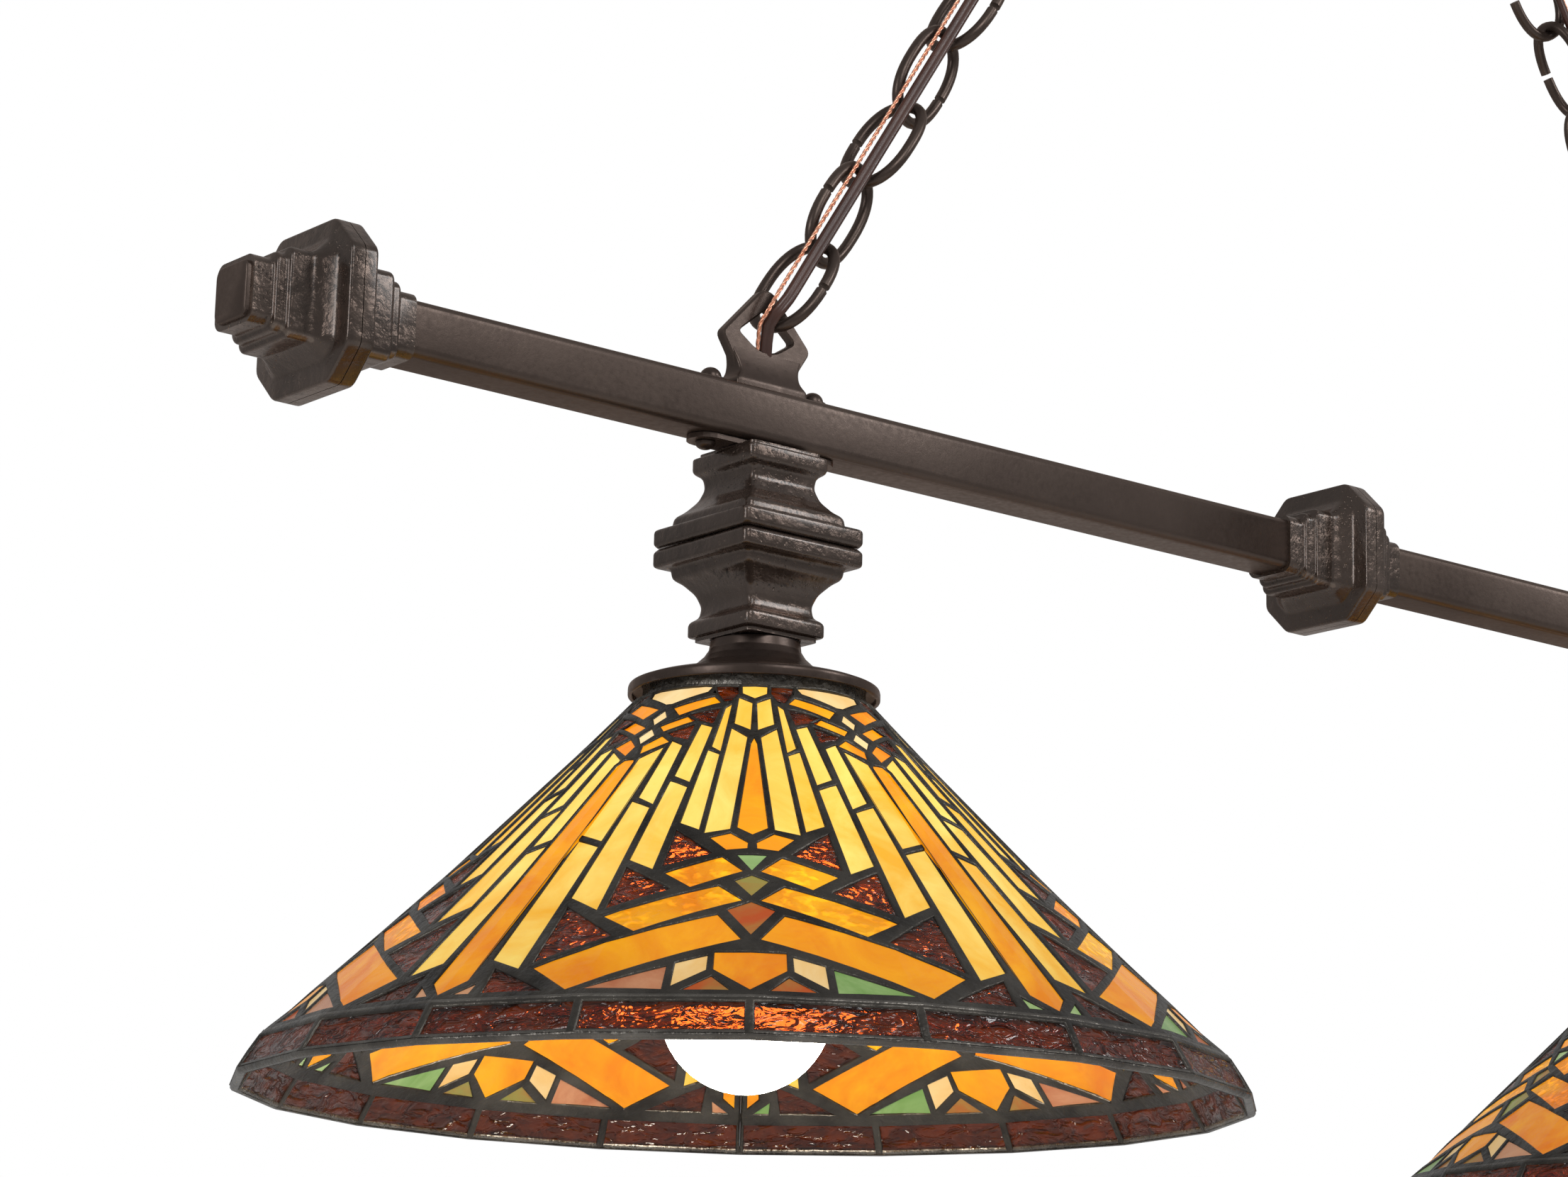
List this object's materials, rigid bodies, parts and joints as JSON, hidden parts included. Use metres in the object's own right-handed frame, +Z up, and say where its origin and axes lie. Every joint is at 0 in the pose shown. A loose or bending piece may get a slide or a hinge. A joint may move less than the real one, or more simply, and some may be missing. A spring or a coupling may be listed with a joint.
{
  "type": "pool table lamp",
  "caption": "Hanging billiard lamp: conical leaded amber glass shades under a square bar with stepped castings, on a V of chain from a ceiling canopy.",
  "frame": {"origin": "middle of the ceiling strap's top face, where the lamp meets the ceiling", "axes": "+X along the bar towards the right-hand shade, +Z up"},
  "size_m": [1.0256, 0.354, 0.7977],
  "materials": {
    "brown_metal": "satin, cast texture",
    "zinc_steel": "satin",
    "amber_glass": "gloss",
    "lead_solder": "dark patina",
    "bulb_glass": "frosted",
    "socket_brass": "satin",
    "cord_brown": "satin",
    "copper_strand": "bright"
  },
  "bodies": {
    "canopy": {"ceiling_strap": "zinc_steel", "strap_screw_left": "zinc_steel", "strap_screw_right": "zinc_steel", "canopy_dish": "brown_metal", "canopy_stem": "zinc_steel", "canopy_locknut": "zinc_steel", "canopy_loop": "brown_metal"},
    "lamp": {"bar_joiner": "zinc_steel", "bar_left": "brown_metal", "end_plate_left": "brown_metal", "finial_left_inner": "brown_metal", "finial_left_outer": "brown_metal", "centre_casting_left": "brown_metal", "hanger_left": "brown_metal", "hanger_screw_left_a": "brown_metal", "hanger_screw_left_b": "brown_metal", "mount_plate_left": "brown_metal", "mount_screw_left_a": "brown_metal", "mount_screw_left_b": "brown_metal", "neck_upper_left": "brown_metal", "neck_lower_left": "brown_metal", "neck_rod_left": "zinc_steel", "shade_cap_left": "brown_metal", "shade_spider_left": "zinc_steel", "spider_nut_left": "zinc_steel", "socket_left": "socket_brass", "chain_left": "brown_metal", "cord_left": "cord_brown", "ground_wire_left": "copper_strand", "bar_right": "brown_metal", "end_plate_right": "brown_metal", "finial_right_inner": "brown_metal", "finial_right_outer": "brown_metal", "centre_casting_right": "brown_metal", "hanger_right": "brown_metal", "hanger_screw_right_a": "brown_metal", "hanger_screw_right_b": "brown_metal", "mount_plate_right": "brown_metal", "mount_screw_right_a": "brown_metal", "mount_screw_right_b": "brown_metal", "neck_upper_right": "brown_metal", "neck_lower_right": "brown_metal", "neck_rod_right": "zinc_steel", "shade_cap_right": "brown_metal", "shade_spider_right": "zinc_steel", "spider_nut_right": "zinc_steel", "socket_right": "socket_brass", "chain_right": "brown_metal", "cord_right": "cord_brown", "ground_wire_right": "copper_strand"},
    "shade_left": {"shade_left": "amber_glass", "shade_ring_left": "lead_solder"},
    "bulb_left": {"bulb_globe_left": "bulb_glass", "bulb_base_left": "zinc_steel"},
    "shade_right": {"shade_right": "amber_glass", "shade_ring_right": "lead_solder"},
    "bulb_right": {"bulb_globe_right": "bulb_glass", "bulb_base_right": "zinc_steel"}
  },
  "joints": [
    {"name": "lamp_swing", "type": "hinge", "parent": "canopy", "child": "lamp", "pos_m": [0, 0, -0.055], "axis": [1, 0, 0], "range_deg": [-30, 30]},
    {"name": "shade_turn_left", "type": "hinge", "parent": "lamp", "child": "shade_left", "pos_m": [-0.291, 0, -0.65765], "axis": [0, 0, 1], "continuous": true},
    {"name": "bulb_turn_left", "type": "hinge", "parent": "lamp", "child": "bulb_left", "pos_m": [-0.291, 0, -0.69765], "axis": [0, 0, 1], "continuous": true},
    {"name": "shade_turn_right", "type": "hinge", "parent": "lamp", "child": "shade_right", "pos_m": [0.291, 0, -0.65765], "axis": [0, 0, 1], "continuous": true},
    {"name": "bulb_turn_right", "type": "hinge", "parent": "lamp", "child": "bulb_right", "pos_m": [0.291, 0, -0.69765], "axis": [0, 0, 1], "continuous": true}
  ]
}
